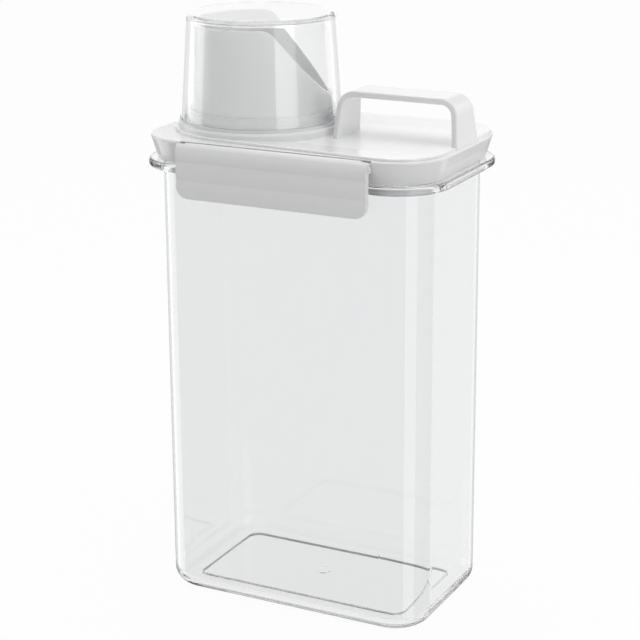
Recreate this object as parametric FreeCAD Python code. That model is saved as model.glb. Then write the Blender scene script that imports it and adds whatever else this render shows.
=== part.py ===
"""Clear laundry-powder dispenser: a tall storage tank with a latched lid, a pour
spout under an upturned measuring cup, and a fixed carrying strap.

Millimetres. Origin at the centre of the base, on the surface it stands on.
+Z is up, +X runs along the long side towards the handle, -Y is the front.
"""
import FreeCAD, Part
import math
import os

Vec = FreeCAD.Vector
X_AXIS = Vec(1, 0, 0)
Z_AXIS = Vec(0, 0, 1)

# Tank
TANK_LENGTH = 143.0
TANK_WIDTH = 88.0
TANK_HEIGHT = 224.2
TANK_CORNER_R = 19.5
TANK_WALL = 2.2
TANK_FLOOR = 3.5
TANK_BASE_R = 8.0
RIM_PROJECTION = 7.0
RIM_THICKNESS = 4.0
RIM_EDGE_R = 1.5
BASE_PANEL_INSET = 14.0
BASE_PANEL_R = 6.0
BASE_PANEL_RISE = 1.0
BASE_PANEL_EDGE_R = 0.6
FOOT_RECESS = 1.4
GATE_MARK_R = 4.0
GATE_MARK_RISE = 0.4

# Lid
LID_HEIGHT = 11.3
LID_SETBACK = 1.0
LID_TAPER = 3.5
LID_PLATE = 3.0
LID_SKIRT_WALL = 3.6
LID_EDGE_R = 0.9
LID_SEAT_GAP = 0.3
PLUG_DEPTH = 5.0
PLUG_WALL = 2.2
PLUG_GAP = 1.2

# Gasket around the plug
GASKET_HEIGHT = 2.4
GASKET_GROOVE = 0.8
GASKET_CLEARANCE = 0.3
GASKET_BELOW_RIM = 1.2

# Raised deck on the lid: a ring round the cup that widens into a low rim round a dished tray
CUP_X = -32.5
DECK_RISE = 1.3
DECK_RING_R = 43.0
DECK_SIDE_INSET = 1.7
DECK_END_INSET = 1.7
DECK_CORNER_R = 22.5
DECK_EDGE_R = 0.6
FENCE_TOP = 1.4
FENCE_SLOPE = 16.0

# Collar, neck and seal ring that the cup sits on
COLLAR_R = 41.2
COLLAR_RISE = 4.0
COLLAR_EDGE_R = 1.2
NECK_WALL = 2.2
NECK_RISE = 9.0
SEAL_THICKNESS = 1.4
SEAL_SETBACK = 0.9
CUP_SEAT_GAP = 0.3

# Pour spout
SPOUT_R = 34.2
SPOUT_TOP_R = 32.6
SPOUT_WALL = 1.8
SPOUT_RISE = 51.0
SPOUT_LIP_RISE = 17.0
SPOUT_CUT_START = 4.2
SPOUT_CUT_RUN = 28.4
SPOUT_CUT_R = 8.0
SPOUT_TURN = 27.0
SPOUT_LEDGE = 1.6
SPOUT_LEDGE_HEIGHT = 1.4
SPOUT_FIT = 0.1

# Measuring cup
CUP_MOUTH_R = 39.9
CUP_TOP_R = 36.3
CUP_HEIGHT = 50.3
CUP_WALL = 1.6
CUP_TOP_WALL = 2.0
CUP_EDGE_R = 3.0

# Carrying strap
HANDLE_LEFT = 12.0
HANDLE_RIGHT = 76.4
HANDLE_RISE = 22.8
HANDLE_LEAN = 2.2
HANDLE_STRAP = 2.9
HANDLE_CORNER_R = 8.5
HANDLE_TOP_WIDTH = 18.0
HANDLE_FOOT_WIDTH = 26.0
HANDLE_TENON = 1.5
HANDLE_EDGE_R = 0.8

# Latch flaps, one at the front and one at the rear
LATCH_LENGTH = 99.6
LATCH_DROP = 26.5
LATCH_WALL = 2.6
LATCH_RIM_GAP = 0.4
LATCH_CORNER_R = 6.0
LATCH_BARREL_R = 3.2
LATCH_TOP_GAP = 0.0
LATCH_BANDS = 3
LATCH_BAND_CROWN = 0.5
LATCH_BROW = 2.2
LATCH_SKIN_START = 1.3
LATCH_PIN_R = 1.2
LATCH_EAR_LENGTH = 3.6
LATCH_EAR_WALL = 0.9
LATCH_HINGE_GAP = 0.3
HOOK_REACH = 1.0
HOOK_HEIGHT = 2.6
HOOK_GAP = 0.3
HOOK_MARGIN = 6.0

# Sizes that follow from the ones above
RIM_LENGTH = TANK_LENGTH + 2 * RIM_PROJECTION
RIM_WIDTH = TANK_WIDTH + 2 * RIM_PROJECTION
RIM_CORNER_R = TANK_CORNER_R + RIM_PROJECTION
RIM_BOTTOM = TANK_HEIGHT - RIM_THICKNESS
MOUTH_LENGTH = TANK_LENGTH - 2 * TANK_WALL
MOUTH_WIDTH = TANK_WIDTH - 2 * TANK_WALL
MOUTH_CORNER_R = TANK_CORNER_R - TANK_WALL

LID_LENGTH = RIM_LENGTH - 2 * LID_SETBACK
LID_WIDTH = RIM_WIDTH - 2 * LID_SETBACK
LID_CORNER_R = RIM_CORNER_R - LID_SETBACK
LID_BOTTOM = TANK_HEIGHT + LID_SEAT_GAP
LIP = LID_BOTTOM + LID_HEIGHT
PLATE_BOTTOM = LIP - LID_PLATE
PLUG_BOTTOM = TANK_HEIGHT - PLUG_DEPTH
PLUG_LENGTH = MOUTH_LENGTH - 2 * PLUG_GAP
PLUG_WIDTH = MOUTH_WIDTH - 2 * PLUG_GAP
PLUG_CORNER_R = MOUTH_CORNER_R - PLUG_GAP

DECK_TOP = LIP + DECK_RISE
DECK_HALF = LID_WIDTH / 2 - DECK_SIDE_INSET
DECK_END = LID_LENGTH / 2 - DECK_END_INSET
COLLAR_TOP = LIP + COLLAR_RISE
NECK_BORE = SPOUT_R + SPOUT_FIT
NECK_R = NECK_BORE + NECK_WALL
NECK_TOP = LIP + NECK_RISE
SEAL_TOP = COLLAR_TOP + SEAL_THICKNESS
CUP_MOUTH = SEAL_TOP + CUP_SEAT_GAP

LATCH_INNER = RIM_WIDTH / 2 + LATCH_RIM_GAP
LATCH_OUTER = LATCH_INNER + LATCH_WALL
LATCH_TOP = LIP - LATCH_TOP_GAP
LATCH_BOTTOM = LIP - LATCH_DROP
HINGE_Y = LATCH_OUTER - LATCH_BARREL_R
HINGE_Z = LATCH_TOP - LATCH_BARREL_R
EAR_R = LATCH_PIN_R + LATCH_HINGE_GAP + LATCH_EAR_WALL
BARREL_HALF = LATCH_LENGTH / 2 - LATCH_EAR_LENGTH - LATCH_HINGE_GAP

# Length by which a cutting solid runs past the face it cuts, and the slack in a height test
OVERRUN = 1.0
SAME_HEIGHT = 1e-4


def rounded_wire(length, width, radius, z):
    """Rounded rectangle centred on the Z axis, as lines and quarter arcs."""
    half_x = length / 2
    half_y = width / 2
    edges = []
    corners = [(1, 1, 0), (-1, 1, 90), (-1, -1, 180), (1, -1, 270)]
    arcs = []
    for sign_x, sign_y, start in corners:
        centre = Vec(sign_x * (half_x - radius), sign_y * (half_y - radius), z)
        points = [
            centre + Vec(math.cos(math.radians(a)), math.sin(math.radians(a)), 0) * radius
            for a in (start, start + 45, start + 90)
        ]
        arcs.append(points)
    for index, points in enumerate(arcs):
        following = arcs[(index + 1) % len(arcs)]
        edges.append(Part.Arc(*points).toShape())
        edges.append(Part.makeLine(points[2], following[0]))
    return Part.Wire(edges)


def rounded_prism(length, width, radius, z_low, z_high):
    """Rounded rectangle standing between two heights."""
    face = Part.Face(rounded_wire(length, width, radius, z_low))
    return face.extrude(Vec(0, 0, z_high - z_low))


def tapered_prism(low, high):
    """Ruled solid between two (length, width, radius, z) rounded rectangles."""
    return Part.makeLoft([rounded_wire(*low), rounded_wire(*high)], True, True)


def edges_at(shape, z):
    """Edges that lie wholly at one height."""
    return [
        edge for edge in shape.Edges
        if abs(edge.BoundBox.ZMin - z) < SAME_HEIGHT and abs(edge.BoundBox.ZMax - z) < SAME_HEIGHT
    ]


def cup_cylinder(radius, z_low, z_high):
    """Upright cylinder on the cup's own axis."""
    return Part.makeCylinder(radius, z_high - z_low, Vec(CUP_X, 0, z_low))


def cup_cone(radius_low, radius_high, z_low, z_high):
    """Upright cone on the cup's own axis."""
    return Part.makeCone(radius_low, radius_high, z_high - z_low, Vec(CUP_X, 0, z_low))


def make_tank():
    """Clear one-piece tank with a thick rolled rim and a panelled base."""
    body = rounded_prism(TANK_LENGTH, TANK_WIDTH, TANK_CORNER_R, 0, TANK_HEIGHT)
    body = body.makeFillet(TANK_BASE_R, edges_at(body, 0))
    rim = rounded_prism(RIM_LENGTH, RIM_WIDTH, RIM_CORNER_R, RIM_BOTTOM, TANK_HEIGHT)
    rim_edges = edges_at(rim, RIM_BOTTOM) + edges_at(rim, TANK_HEIGHT)
    rim = rim.makeFillet(RIM_EDGE_R, rim_edges)
    room = rounded_prism(
        MOUTH_LENGTH, MOUTH_WIDTH, MOUTH_CORNER_R, TANK_FLOOR, TANK_HEIGHT + OVERRUN
    )
    room = room.makeFillet(TANK_BASE_R - TANK_WALL, edges_at(room, TANK_FLOOR))
    panel_length = TANK_LENGTH - 2 * BASE_PANEL_INSET
    panel_width = TANK_WIDTH - 2 * BASE_PANEL_INSET
    panel_top = TANK_FLOOR + BASE_PANEL_RISE
    panel = rounded_prism(panel_length, panel_width, BASE_PANEL_R, TANK_FLOOR / 2, panel_top)
    panel = panel.makeFillet(BASE_PANEL_EDGE_R, edges_at(panel, panel_top))
    recess = rounded_prism(panel_length, panel_width, BASE_PANEL_R, -OVERRUN, FOOT_RECESS)
    gate = Part.makeCylinder(GATE_MARK_R, GATE_MARK_RISE + OVERRUN, Vec(0, 0, panel_top - OVERRUN))
    return body.fuse(rim).cut(room).fuse(panel).fuse(gate).cut(recess).removeSplitter()


def arc_between(centre, radius, start, finish):
    """Arc about an upright axis between two angles in degrees."""
    points = [
        centre + Vec(math.cos(math.radians(angle)), math.sin(math.radians(angle)), 0) * radius
        for angle in (start, (start + finish) / 2, finish)
    ]
    return Part.Arc(*points)


def deck_wire(inset, z):
    """Deck outline: a ring round the cup, tangent sides that widen, and two rounded corners."""
    ring_r = DECK_RING_R - inset
    corner_r = DECK_CORNER_R - inset
    ring = Vec(CUP_X, 0, z)
    rear = Vec(DECK_END - DECK_CORNER_R, DECK_HALF - DECK_CORNER_R, z)
    front = Vec(rear.x, -rear.y, z)
    span = rear - ring
    turn = math.degrees(math.atan2(span.y, span.x) + math.acos((ring_r - corner_r) / span.Length))
    arcs = [
        arc_between(rear, corner_r, 0, turn),
        arc_between(ring, ring_r, turn, 360 - turn),
        arc_between(front, corner_r, -turn, 0),
    ]
    edges = []
    for index, arc in enumerate(arcs):
        following = arcs[(index + 1) % len(arcs)]
        edges.append(arc.toShape())
        edges.append(Part.makeLine(arc.EndPoint, following.StartPoint))
    return Part.Wire(edges)


def make_deck():
    """Raised deck with the tray sunk into it beside the cup's collar."""
    deck = Part.Face(deck_wire(0, PLATE_BOTTOM)).extrude(Vec(0, 0, DECK_TOP - PLATE_BOTTOM))
    deck = deck.makeFillet(DECK_EDGE_R, edges_at(deck, DECK_TOP))
    overrun_slope = FENCE_SLOPE * OVERRUN / DECK_RISE
    low = deck_wire(FENCE_TOP + FENCE_SLOPE, LIP)
    high = deck_wire(FENCE_TOP - overrun_slope, DECK_TOP + OVERRUN)
    tray = Part.makeLoft([low, high], True, True)
    return deck.cut(tray.cut(cup_cylinder(COLLAR_R, LIP - OVERRUN, DECK_TOP + OVERRUN)))


def make_collar():
    """Round seat for the cup, with the neck that holds the spout."""
    collar = cup_cylinder(COLLAR_R, PLATE_BOTTOM, COLLAR_TOP)
    collar = collar.makeFillet(COLLAR_EDGE_R, edges_at(collar, COLLAR_TOP))
    return collar.fuse(cup_cylinder(NECK_R, PLATE_BOTTOM, NECK_TOP))


def hinge_cylinder(side, radius, x_low, x_high):
    """Cylinder on a latch's hinge axis; side is -1 at the front and +1 at the rear."""
    return Part.makeCylinder(radius, x_high - x_low, Vec(x_low, side * HINGE_Y, HINGE_Z), X_AXIS)


def make_ears(side):
    """Two pierced hinge ears on the lid, at the ends of one latch."""
    ears = []
    depth = HINGE_Y - LID_WIDTH / 2 + LID_TAPER
    for end in (-1, 1):
        outer = end * LATCH_LENGTH / 2
        inner = end * (LATCH_LENGTH / 2 - LATCH_EAR_LENGTH)
        x_low = min(outer, inner)
        x_high = max(outer, inner)
        ear = hinge_cylinder(side, EAR_R, x_low, x_high)
        y_low = side * HINGE_Y if side < 0 else side * HINGE_Y - depth
        web = Part.makeBox(x_high - x_low, depth, EAR_R, Vec(x_low, y_low, HINGE_Z - EAR_R))
        bore = hinge_cylinder(
            side, LATCH_PIN_R + LATCH_HINGE_GAP, x_low - OVERRUN, x_high + OVERRUN
        )
        ears.append((ear.fuse(web), bore))
    return ears


def make_lid(handle):
    """White lid: flared skirt, sealing plug, deck, collar and hinge ears."""
    foot = (LID_LENGTH - 2 * LID_TAPER, LID_WIDTH - 2 * LID_TAPER, LID_CORNER_R - LID_TAPER)
    shell = tapered_prism(foot + (LID_BOTTOM,), (LID_LENGTH, LID_WIDTH, LID_CORNER_R, LIP))
    shell = shell.makeFillet(LID_EDGE_R, edges_at(shell, LIP))
    wall = LID_SKIRT_WALL
    shrink = LID_TAPER * LID_PLATE / LID_HEIGHT
    hollow = tapered_prism(
        (foot[0] - 2 * wall, foot[1] - 2 * wall, foot[2] - wall, LID_BOTTOM),
        (
            LID_LENGTH - 2 * (wall + shrink),
            LID_WIDTH - 2 * (wall + shrink),
            LID_CORNER_R - wall - shrink,
            PLATE_BOTTOM,
        ),
    )
    plug = rounded_prism(PLUG_LENGTH, PLUG_WIDTH, PLUG_CORNER_R, PLUG_BOTTOM, PLATE_BOTTOM)
    plug = plug.cut(
        rounded_prism(
            PLUG_LENGTH - 2 * PLUG_WALL,
            PLUG_WIDTH - 2 * PLUG_WALL,
            PLUG_CORNER_R - PLUG_WALL,
            PLUG_BOTTOM - OVERRUN,
            PLATE_BOTTOM,
        )
    )
    lid = shell.cut(hollow).fuse(plug).cut(make_gasket())
    lid = lid.fuse(make_deck()).fuse(make_collar())
    lid = lid.cut(cup_cylinder(NECK_BORE, PLUG_BOTTOM - OVERRUN, NECK_TOP + OVERRUN))
    for side in (-1, 1):
        groove = LATCH_BARREL_R + LATCH_BAND_CROWN / 2 + LATCH_HINGE_GAP
        half = LATCH_LENGTH / 2 + LATCH_HINGE_GAP
        lid = lid.cut(hinge_cylinder(side, groove, -half, half))
        for ear, bore in make_ears(side):
            lid = lid.fuse(ear).cut(bore)
    return lid.cut(handle).removeSplitter()


def make_gasket():
    """Silicone ring in the groove round the plug."""
    top = TANK_HEIGHT - GASKET_BELOW_RIM
    reach = PLUG_GAP - GASKET_CLEARANCE
    outer = rounded_prism(
        PLUG_LENGTH + 2 * reach,
        PLUG_WIDTH + 2 * reach,
        PLUG_CORNER_R + reach,
        top - GASKET_HEIGHT,
        top,
    )
    inner = rounded_prism(
        PLUG_LENGTH - 2 * GASKET_GROOVE,
        PLUG_WIDTH - 2 * GASKET_GROOVE,
        PLUG_CORNER_R - GASKET_GROOVE,
        top - GASKET_HEIGHT,
        top,
    )
    return outer.cut(inner)


def make_seal_ring():
    """Flat silicone washer on the collar, under the cup's mouth."""
    ring = cup_cylinder(COLLAR_R - SEAL_SETBACK, COLLAR_TOP, SEAL_TOP)
    return ring.cut(cup_cylinder(NECK_R, COLLAR_TOP, SEAL_TOP))


def spout_cutter():
    """Everything above the spout's pouring edge, as an extruded side profile."""
    high = LIP + SPOUT_RISE
    low = LIP + SPOUT_LIP_RISE
    start = CUP_X + SPOUT_CUT_START
    finish = start + SPOUT_CUT_RUN
    reach = 2 * SPOUT_R
    slope = math.atan2(high - low, SPOUT_CUT_RUN)
    tangent = SPOUT_CUT_R * math.tan(slope / 2)
    down = Vec(math.cos(slope), 0, -math.sin(slope))
    knee = Vec(start, -reach, high)
    arc_start = knee - X_AXIS * tangent
    arc_end = knee + down * tangent
    bisector = Vec(math.sin(slope / 2), 0, math.cos(slope / 2))
    crown = SPOUT_CUT_R / math.cos(slope / 2) - SPOUT_CUT_R
    arc_mid = knee - bisector * crown
    corners = [
        arc_end,
        Vec(finish, -reach, low),
        Vec(finish + reach, -reach, low),
        Vec(finish + reach, -reach, high + reach),
        Vec(CUP_X - reach, -reach, high + reach),
        Vec(CUP_X - reach, -reach, high),
        arc_start,
    ]
    edges = [Part.makeLine(a, b) for a, b in zip(corners, corners[1:])]
    edges.append(Part.Arc(arc_start, arc_mid, arc_end).toShape())
    cutter = Part.Face(Part.Wire(edges)).extrude(Vec(0, 2 * reach, 0))
    cutter.rotate(Vec(CUP_X, 0, 0), Z_AXIS, SPOUT_TURN)
    return cutter


def make_spout():
    """Open pouring tube with a slanted mouth, seated on the neck by a ledge."""
    top = LIP + SPOUT_RISE + OVERRUN
    tube = cup_cylinder(SPOUT_R, PLATE_BOTTOM, NECK_TOP)
    tube = tube.fuse(cup_cone(SPOUT_R, SPOUT_TOP_R, NECK_TOP, top))
    ledge = cup_cylinder(SPOUT_R + SPOUT_LEDGE, NECK_TOP, NECK_TOP + SPOUT_LEDGE_HEIGHT)
    bore = cup_cylinder(SPOUT_R - SPOUT_WALL, PLATE_BOTTOM - OVERRUN, NECK_TOP)
    bore = bore.fuse(cup_cone(SPOUT_R - SPOUT_WALL, SPOUT_TOP_R - SPOUT_WALL, NECK_TOP, top + OVERRUN))
    return tube.fuse(ledge).cut(bore).cut(spout_cutter()).removeSplitter()


def make_cup():
    """Upturned measuring cup with a rounded closed end."""
    top = CUP_MOUTH + CUP_HEIGHT
    cup = cup_cone(CUP_MOUTH_R, CUP_TOP_R, CUP_MOUTH, top)
    cup = cup.makeFillet(CUP_EDGE_R, edges_at(cup, top))
    room_top = top - CUP_TOP_WALL
    rate = (CUP_MOUTH_R - CUP_TOP_R) / CUP_HEIGHT
    room = cup_cone(
        CUP_MOUTH_R - CUP_WALL,
        CUP_TOP_R - CUP_WALL + rate * CUP_TOP_WALL,
        CUP_MOUTH,
        room_top,
    )
    room = room.makeFillet(CUP_EDGE_R - CUP_WALL, edges_at(room, room_top))
    return cup.cut(room)


def strap_wire(inset):
    """Arch outline, from foot to foot, set in from the strap's outer face."""
    foot = LIP - HANDLE_TENON
    top = LIP + HANDLE_RISE
    lean = HANDLE_LEAN / HANDLE_RISE
    left = HANDLE_LEFT + inset
    right = HANDLE_RIGHT - inset
    depth = top - inset - foot
    y = -HANDLE_FOOT_WIDTH
    corners = [
        Vec(left - lean * HANDLE_TENON, y, foot),
        Vec(left - lean * HANDLE_TENON + lean * depth, y, top - inset),
        Vec(right + lean * HANDLE_TENON - lean * depth, y, top - inset),
        Vec(right + lean * HANDLE_TENON, y, foot),
    ]
    return Part.makePolygon(corners + corners[:1])


def strap_prism(inset, radius):
    """Solid arch block with its two upper corners rounded."""
    block = Part.Face(strap_wire(inset)).extrude(Vec(0, 2 * HANDLE_FOOT_WIDTH, 0))
    top = LIP + HANDLE_RISE - inset
    upper = [
        edge for edge in edges_at(block, top)
        if edge.BoundBox.YLength > HANDLE_FOOT_WIDTH
    ]
    return block.makeFillet(radius, upper)


def make_handle():
    """Fixed carrying strap whose legs widen towards their feet."""
    arch = strap_prism(0, HANDLE_CORNER_R)
    arch = arch.cut(strap_prism(HANDLE_STRAP, HANDLE_CORNER_R - HANDLE_STRAP))
    foot = LIP - HANDLE_TENON
    top = LIP + HANDLE_RISE + OVERRUN
    half_foot = HANDLE_FOOT_WIDTH / 2
    half_top = HANDLE_TOP_WIDTH / 2
    x_low = HANDLE_LEFT - HANDLE_FOOT_WIDTH
    outline = Part.makePolygon([
        Vec(x_low, -half_foot, foot),
        Vec(x_low, half_foot, foot),
        Vec(x_low, half_top, top),
        Vec(x_low, -half_top, top),
        Vec(x_low, -half_foot, foot),
    ])
    span = HANDLE_RIGHT - HANDLE_LEFT + 2 * HANDLE_FOOT_WIDTH
    strap = arch.common(Part.Face(outline).extrude(Vec(span, 0, 0)))
    side_edges = [edge for edge in strap.Edges if edge.BoundBox.ZMax > LIP + DECK_RISE]
    side_edges = [edge for edge in side_edges if edge.BoundBox.YLength < HANDLE_FOOT_WIDTH / 4]
    return strap.makeFillet(HANDLE_EDGE_R, side_edges)


def band_face(side):
    """Side profile of a latch: flat inside, shallow convex bands outside, a brow on top."""
    step = (LATCH_TOP - LATCH_BOTTOM) / LATCH_BANDS
    brow_reach = math.sqrt(LATCH_BARREL_R ** 2 - LATCH_BROW ** 2)
    creases = [(LATCH_OUTER, LATCH_BOTTOM + band * step) for band in range(LATCH_BANDS)]
    creases.append((HINGE_Y + brow_reach, HINGE_Z + LATCH_BROW))
    inner_top = Vec(0, side * LATCH_INNER, HINGE_Z)
    inner_low = Vec(0, side * LATCH_INNER, LATCH_BOTTOM)
    edges = [
        Part.makeLine(inner_top, inner_low),
        Part.makeLine(inner_low, Vec(0, side * LATCH_OUTER, LATCH_BOTTOM)),
    ]
    for (low_y, low_z), (high_y, high_z) in zip(creases, creases[1:]):
        edges.append(
            Part.Arc(
                Vec(0, side * low_y, low_z),
                Vec(0, side * (LATCH_OUTER + LATCH_BAND_CROWN), (low_z + high_z) / 2),
                Vec(0, side * high_y, high_z),
            ).toShape()
        )
    brow_y, brow_z = creases[-1]
    edges.append(Part.makeLine(Vec(0, side * brow_y, brow_z), inner_top))
    return Part.Face(Part.Wire(edges))


def make_latch(side):
    """Latch flap: banded plate, hinge barrel with end pins, and a hook under the rim."""
    half = LATCH_LENGTH / 2
    plate = band_face(side).extrude(Vec(LATCH_LENGTH, 0, 0))
    plate.translate(Vec(-half, 0, 0))
    lower = [
        edge for edge in plate.Edges
        if edge.BoundBox.YLength > LATCH_WALL / 2
        and edge.BoundBox.ZMax < LATCH_BOTTOM + LATCH_WALL
        and edge.BoundBox.XLength < LATCH_WALL
    ]
    lower = [edge for edge in lower if edge.BoundBox.ZLength < SAME_HEIGHT]
    plate = plate.makeFillet(LATCH_CORNER_R, lower)
    hook_top = RIM_BOTTOM - HOOK_GAP
    hook_y = LATCH_INNER - LATCH_RIM_GAP - HOOK_REACH
    hook = Part.Face(Part.makePolygon([
        Vec(-half + HOOK_MARGIN, side * LATCH_INNER, hook_top),
        Vec(-half + HOOK_MARGIN, side * hook_y, hook_top),
        Vec(-half + HOOK_MARGIN, side * LATCH_INNER, hook_top - HOOK_HEIGHT),
        Vec(-half + HOOK_MARGIN, side * LATCH_INNER, hook_top),
    ])).extrude(Vec(LATCH_LENGTH - 2 * HOOK_MARGIN, 0, 0))
    latch = plate.fuse(hinge_cylinder(side, LATCH_BARREL_R, -half, half)).fuse(hook)
    relief = EAR_R + LATCH_HINGE_GAP
    for end in (-1, 1):
        x_low = min(end * BARREL_HALF, end * (half + OVERRUN))
        x_high = max(end * BARREL_HALF, end * (half + OVERRUN))
        latch = latch.cut(hinge_cylinder(side, relief, x_low, x_high))
        for passage in ear_passages(side, x_low, x_high):
            latch = latch.cut(passage)
    return latch.fuse(hinge_cylinder(side, LATCH_PIN_R, -half, half)).removeSplitter()


def ear_passages(side, x_low, x_high):
    """Room behind and above an ear, so that only the latch's front skin covers it."""
    depth = LATCH_BARREL_R + OVERRUN
    length = x_high - x_low
    behind_y = side * HINGE_Y if side < 0 else side * HINGE_Y - depth
    behind = Part.makeBox(length, depth, 2 * depth, Vec(x_low, behind_y, HINGE_Z - depth))
    above_y = side * HINGE_Y - LATCH_SKIN_START
    above = Part.makeBox(length, 2 * LATCH_SKIN_START, depth, Vec(x_low, above_y, HINGE_Z))
    return behind, above


def main():
    handle = make_handle()
    parts = {
        "tank": make_tank(),
        "lid": make_lid(handle),
        "lid_gasket": make_gasket(),
        "pour_spout": make_spout(),
        "cup_seal_ring": make_seal_ring(),
        "measuring_cup": make_cup(),
        "handle": handle,
        "front_latch": make_latch(-1),
        "rear_latch": make_latch(1),
    }
    os.makedirs("parts", exist_ok=True)
    for name, shape in parts.items():
        box = shape.BoundBox
        print(
            name, "valid", shape.isValid(), "solids", len(shape.Solids),
            "volume", round(shape.Volume), "box",
            [round(v, 2) for v in (box.XMin, box.XMax, box.YMin, box.YMax, box.ZMin, box.ZMax)],
        )
        shape.exportStep("parts/" + name + ".step")


main()
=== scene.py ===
"""Looks of the clear detergent dispenser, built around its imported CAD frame. Metres."""

import math

import bpy
from mathutils import Matrix, Vector

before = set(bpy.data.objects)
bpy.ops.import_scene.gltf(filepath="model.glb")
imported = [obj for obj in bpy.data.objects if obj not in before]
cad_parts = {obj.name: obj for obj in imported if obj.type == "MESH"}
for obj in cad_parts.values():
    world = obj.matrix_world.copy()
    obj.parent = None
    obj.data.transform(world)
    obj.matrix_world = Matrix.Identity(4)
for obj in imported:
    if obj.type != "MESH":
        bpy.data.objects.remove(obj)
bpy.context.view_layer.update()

# Camera, fitted to the photograph's 640 by 640 frame: degrees, metres and pixels
VIEW_AZIMUTH = 27.18
VIEW_ELEVATION = 17.36
VIEW_ROLL = -0.365
VIEW_DISTANCE = 0.9418
VIEW_TARGET_HEIGHT = 0.1398
VIEW_TARGET_SIDE = -0.00255
FOCAL_PIXELS = 1889.0
FRAME_PIXELS = 640
CENTRE_PIXEL = (317.45, 320.98)
SENSOR_WIDTH = 36.0
CLIP_START = 0.05

# Parts of a noise's range over which a value or a colour runs from its low to its high end
VALUE_SPAN = (0.3, 0.7)
COLOUR_SPAN = (0.35, 0.65)

# Clear plastic: colours, refraction, handling haze (scale, roughness) and upright flow ripples
# (stretch, bump strength and depth)
TANK_COLOUR = (0.905, 0.908, 0.911)
CUP_COLOUR = (0.972, 0.974, 0.976)
CLEAR_IOR = 1.46
HAZE_SCALE = 60.0
CLEAR_ROUGHNESS = (0.004, 0.014)
FLOW_STRETCH = (14, 14, 0.4)
FLOW_BUMP = (0.012, 0.001)

# White plastic: uneven tone, gloss and skin grain
WHITE_TONE_SCALE = 12.0
WHITE_TONES = ((0.895, 0.896, 0.898), (0.903, 0.904, 0.906))
WHITE_GLOSS_SCALE = 40.0
WHITE_ROUGHNESS = (0.12, 0.15)
WHITE_GRAIN_SCALE = 900.0
WHITE_GRAIN_BUMP = (0.02, 0.00005)

# Silicone: mottled tone, dry skin and fine grain
SOFT_TONE_SCALE = 90.0
SOFT_TONES = ((0.80, 0.81, 0.82), (0.85, 0.86, 0.87))
SOFT_SKIN_SCALE = 300.0
SOFT_ROUGHNESS = (0.42, 0.6)
SOFT_GRAIN_SCALE = 1500.0
SOFT_GRAIN_BUMP = (0.1, 0.0001)

# Direction from the front right, through the object, to the backdrop
BACKDROP = (-0.457, 0.889, 0.0)

# Radiance that lights the object: a level, plus a slope towards the backdrop and the top
SURROUND_LEVEL = 0.45
SURROUND_SLOPE = (-0.27, 0.53, 0.15)
SURROUND_LEAST = 0.12

# Radiance by how far a direction leans towards the backdrop (-1 is straight away from it):
# a white backdrop, a darker gap on either side of it, and the room in front
REFLECTED = ((-1.0, 0.25), (0.3, 0.28), (0.88, 0.30), (0.935, 1.0))
SEEN_THROUGH = ((-1.0, 1.0), (-0.3, 0.85), (0.3, 0.45), (0.72, 0.45), (0.92, 1.0))

# Floor: half its side, its height, its own grey, and the share of plain white it shows to the eye
FLOOR_HALF = 3.0
FLOOR_LOW = -0.0003
FLOOR_GREY = 0.78
FLOOR_ROUGHNESS = 0.9
FLOOR_WHITE = 0.96

# Softboxes: azimuth and elevation in degrees, distance, width and height, radiance
LIGHTS = {
    "top_light": (60, 78, 1.3, (1.2, 1.2), 1.7),
    "right_light": (64, 0, 1.8, (1.05, 2.5), 1.75),
    "left_light": (-84, 0, 1.8, (1.19, 2.5), 1.6),
    "rear_right_light": (152, -10, 1.3, (0.5, 1.8), 0.8),
}
LIGHT_AIM = 0.15

# Enough for light that runs along inside the clear walls; fewer leave black edges
BOUNCES = 128


def outwards(azimuth, elevation):
    """Direction away from the object; azimuth runs from the front towards the right side."""
    turn = math.radians(azimuth)
    rise = math.radians(elevation)
    return Vector((
        math.sin(turn) * math.cos(rise), -math.cos(turn) * math.cos(rise), math.sin(rise)
    ))


def make_camera():
    """Camera at the photograph's viewing angle."""
    back = outwards(VIEW_AZIMUTH, VIEW_ELEVATION)
    level_right = Vector((0, 0, 1)).cross(back).normalized()
    level_up = back.cross(level_right)
    roll = math.radians(VIEW_ROLL)
    right = level_right * math.cos(roll) + level_up * math.sin(roll)
    up = level_up * math.cos(roll) - level_right * math.sin(roll)
    target = Vector((0, 0, VIEW_TARGET_HEIGHT)) + level_right * VIEW_TARGET_SIDE
    data = bpy.data.cameras.new("camera")
    data.sensor_width = SENSOR_WIDTH
    data.lens = SENSOR_WIDTH * FOCAL_PIXELS / FRAME_PIXELS
    data.shift_x = (FRAME_PIXELS / 2 - CENTRE_PIXEL[0]) / FRAME_PIXELS
    data.shift_y = (CENTRE_PIXEL[1] - FRAME_PIXELS / 2) / FRAME_PIXELS
    data.clip_start = CLIP_START
    camera = bpy.data.objects.new("camera", data)
    bpy.context.scene.collection.objects.link(camera)
    rotation = Matrix((right, up, back)).transposed().to_4x4()
    camera.matrix_world = Matrix.Translation(target + back * VIEW_DISTANCE) @ rotation
    bpy.context.scene.camera = camera


def principled(name):
    """New node material; returns it with its node tree and shader."""
    material = bpy.data.materials.new(name)
    material.use_nodes = True
    tree = material.node_tree
    return material, tree, tree.nodes["Principled BSDF"]


def noise(tree, scale, stretch=(1, 1, 1), detail=3.0):
    """Noise in object space, stretched along the axes."""
    place = tree.nodes.new("ShaderNodeTexCoord")
    mapping = tree.nodes.new("ShaderNodeMapping")
    mapping.inputs["Scale"].default_value = stretch
    texture = tree.nodes.new("ShaderNodeTexNoise")
    texture.inputs["Scale"].default_value = scale
    texture.inputs["Detail"].default_value = detail
    tree.links.new(place.outputs["Object"], mapping.inputs["Vector"])
    tree.links.new(mapping.outputs["Vector"], texture.inputs["Vector"])
    return texture.outputs["Fac"]


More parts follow.
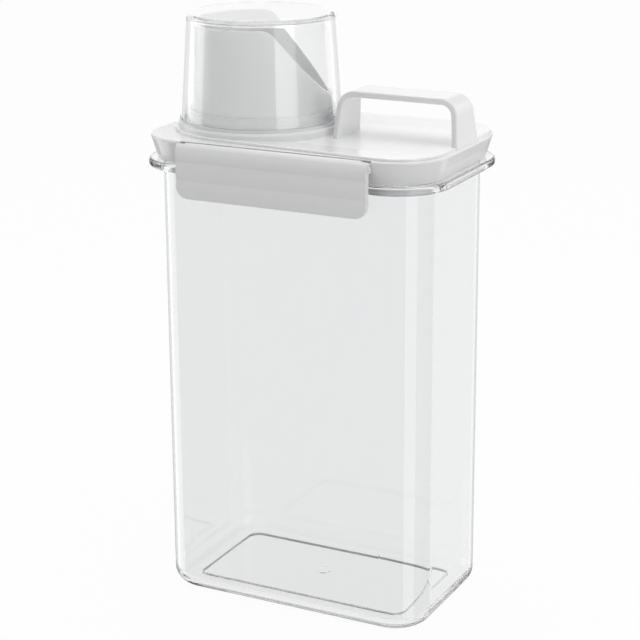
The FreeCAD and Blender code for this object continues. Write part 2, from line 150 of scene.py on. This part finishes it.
def spread(tree, source, socket, ends):
    """Drive a socket between two values by a noise output."""
    ramp = tree.nodes.new("ShaderNodeMapRange")
    ramp.inputs["From Min"].default_value, ramp.inputs["From Max"].default_value = VALUE_SPAN
    ramp.inputs["To Min"].default_value, ramp.inputs["To Max"].default_value = ends
    tree.links.new(source, ramp.inputs["Value"])
    tree.links.new(ramp.outputs["Result"], socket)


def tint(tree, source, socket, ends):
    """Drive a colour socket between two colours by a noise output."""
    ramp = tree.nodes.new("ShaderNodeValToRGB")
    for element, position, colour in zip(ramp.color_ramp.elements, COLOUR_SPAN, ends):
        element.position = position
        element.color = colour + (1,)
    tree.links.new(source, ramp.inputs["Fac"])
    tree.links.new(ramp.outputs["Color"], socket)


def bump(tree, shader, source, strength, distance):
    """Bump the shader's normal by a noise output."""
    node = tree.nodes.new("ShaderNodeBump")
    node.inputs["Strength"].default_value = strength
    node.inputs["Distance"].default_value = distance
    tree.links.new(source, node.inputs["Height"])
    tree.links.new(node.outputs["Normal"], shader.inputs["Normal"])


def math_node(tree, operation, source, other):
    """Math on a socket and a number or a second socket."""
    node = tree.nodes.new("ShaderNodeMath")
    node.operation = operation
    tree.links.new(source, node.inputs[0])
    if isinstance(other, float):
        node.inputs[1].default_value = other
    else:
        tree.links.new(other, node.inputs[1])
    return node.outputs[0]


def mix_shaders(tree, factor, first, second):
    """The first shader where the factor is 0, the second where it is 1."""
    mix = tree.nodes.new("ShaderNodeMixShader")
    tree.links.new(factor, mix.inputs[0])
    tree.links.new(first, mix.inputs[1])
    tree.links.new(second, mix.inputs[2])
    return mix.outputs[0]


def clear_plastic(name, colour):
    """Clear moulded plastic: polished, with faint upright flow ripples and light handling haze."""
    material, tree, shader = principled(name)
    shader.inputs["Base Color"].default_value = colour + (1,)
    shader.inputs["Transmission Weight"].default_value = 1.0
    shader.inputs["IOR"].default_value = CLEAR_IOR
    haze = noise(tree, HAZE_SCALE, detail=4.0)
    spread(tree, haze, shader.inputs["Roughness"], CLEAR_ROUGHNESS)
    flow = noise(tree, 1.0, stretch=FLOW_STRETCH, detail=0.0)
    bump(tree, shader, flow, *FLOW_BUMP)
    return material


def white_plastic():
    """White moulded plastic: glossy, with a fine skin grain and a trace of uneven tone."""
    material, tree, shader = principled("white_plastic")
    tone = noise(tree, WHITE_TONE_SCALE, detail=1.0)
    tint(tree, tone, shader.inputs["Base Color"], WHITE_TONES)
    gloss = noise(tree, WHITE_GLOSS_SCALE, detail=2.0)
    spread(tree, gloss, shader.inputs["Roughness"], WHITE_ROUGHNESS)
    grain = noise(tree, WHITE_GRAIN_SCALE, detail=1.0)
    bump(tree, shader, grain, *WHITE_GRAIN_BUMP)
    return material


def silicone():
    """Soft milky silicone with a dry, slightly mottled skin."""
    material, tree, shader = principled("silicone")
    tint(tree, noise(tree, SOFT_TONE_SCALE), shader.inputs["Base Color"], SOFT_TONES)
    spread(tree, noise(tree, SOFT_SKIN_SCALE), shader.inputs["Roughness"], SOFT_ROUGHNESS)
    bump(tree, shader, noise(tree, SOFT_GRAIN_SCALE), *SOFT_GRAIN_BUMP)
    return material


def make_world():
    """Soft surround with a white backdrop behind the object and greyer sides."""
    world = bpy.data.worlds.new("studio")
    bpy.context.scene.world = world
    world.use_nodes = True
    tree = world.node_tree
    heading = tree.nodes.new("ShaderNodeTexCoord")

    def lean(direction):
        slope = tree.nodes.new("ShaderNodeVectorMath")
        slope.operation = "DOT_PRODUCT"
        slope.inputs[1].default_value = direction
        tree.links.new(heading.outputs["Generated"], slope.inputs[0])
        return slope.outputs["Value"]

    def glow(strength):
        background = tree.nodes.new("ShaderNodeBackground")
        background.inputs["Color"].default_value = (1, 1, 1, 1)
        tree.links.new(strength, background.inputs["Strength"])
        return background.outputs[0]

    def glow_by_lean(stops):
        unit = tree.nodes.new("ShaderNodeMapRange")
        unit.inputs["From Min"].default_value = -1.0
        tree.links.new(lean(BACKDROP), unit.inputs["Value"])
        ramp = tree.nodes.new("ShaderNodeValToRGB")
        elements = ramp.color_ramp.elements
        while len(elements) < len(stops):
            elements.new(1.0)
        for element, (place, value) in zip(elements, stops):
            element.position = (place + 1) / 2
            element.color = (value, value, value, 1)
        tree.links.new(unit.outputs["Result"], ramp.inputs["Fac"])
        return glow(ramp.outputs["Color"])

    level = math_node(tree, "ADD", lean(SURROUND_SLOPE), SURROUND_LEVEL)
    light = glow(math_node(tree, "MAXIMUM", level, SURROUND_LEAST))
    white = tree.nodes["Background"]
    white.inputs["Color"].default_value = (1, 1, 1, 1)
    white.inputs["Strength"].default_value = 1.0
    rays = tree.nodes.new("ShaderNodeLightPath").outputs
    light = mix_shaders(tree, rays["Is Glossy Ray"], light, glow_by_lean(REFLECTED))
    light = mix_shaders(tree, rays["Is Transmission Ray"], light, glow_by_lean(SEEN_THROUGH))
    light = mix_shaders(tree, rays["Is Camera Ray"], light, white.outputs[0])
    tree.links.new(light, tree.nodes["World Output"].inputs[0])


def make_floor():
    """Plain pale floor that keeps the shadow."""
    mesh = bpy.data.meshes.new("floor")
    corners = ((-1, -1), (1, -1), (1, 1), (-1, 1))
    points = [(x * FLOOR_HALF, y * FLOOR_HALF, FLOOR_LOW) for x, y in corners]
    mesh.from_pydata(points, [], [(0, 1, 2, 3)])
    floor = bpy.data.objects.new("floor", mesh)
    bpy.context.scene.collection.objects.link(floor)
    material, tree, shader = principled("floor")
    shader.inputs["Base Color"].default_value = (FLOOR_GREY, FLOOR_GREY, FLOOR_GREY, 1)
    shader.inputs["Roughness"].default_value = FLOOR_ROUGHNESS
    shader.inputs["Specular IOR Level"].default_value = 0.0
    rays = tree.nodes.new("ShaderNodeLightPath").outputs
    seen = math_node(tree, "MAXIMUM", rays["Is Camera Ray"], rays["Is Transmission Ray"])
    share = math_node(tree, "MULTIPLY", seen, FLOOR_WHITE)
    white = tree.nodes.new("ShaderNodeEmission")
    look = mix_shaders(tree, share, shader.outputs[0], white.outputs[0])
    tree.links.new(look, tree.nodes["Material Output"].inputs[0])
    mesh.materials.append(material)
    floor.visible_glossy = False


def area_light(name, azimuth, elevation, distance, size, radiance):
    """Softbox that faces the object."""
    away = outwards(azimuth, elevation)
    data = bpy.data.lights.new(name, "AREA")
    data.shape = "RECTANGLE"
    data.size, data.size_y = size
    data.energy = radiance * math.pi * size[0] * size[1]
    light = bpy.data.objects.new(name, data)
    light.location = Vector((0, 0, LIGHT_AIM)) + away * distance
    light.rotation_mode = "QUATERNION"
    light.rotation_quaternion = away.to_track_quat("Z", "Y")
    light.visible_camera = False
    bpy.context.scene.collection.objects.link(light)


def make_lights():
    """Large softboxes above, right, left and rear right."""
    for name, values in LIGHTS.items():
        area_light(name, *values)


def dress_cad_nodes():
    """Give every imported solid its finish."""
    white = white_plastic()
    soft = silicone()
    finishes = {
        "tank": clear_plastic("tank_clear_plastic", TANK_COLOUR),
        "measuring_cup": clear_plastic("cup_clear_plastic", CUP_COLOUR),
        "lid_gasket": soft,
        "cup_seal_ring": soft,
    }
    for name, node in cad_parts.items():
        node.data.materials.clear()
        node.data.materials.append(finishes.get(name, white))


make_camera()
make_world()
make_floor()
make_lights()
dress_cad_nodes()
bpy.context.scene.view_settings.view_transform = "Standard"
bpy.context.scene.cycles.max_bounces = BOUNCES
bpy.context.scene.cycles.transmission_bounces = BOUNCES
bpy.context.scene.cycles.glossy_bounces = BOUNCES

bpy.context.view_layer.update()
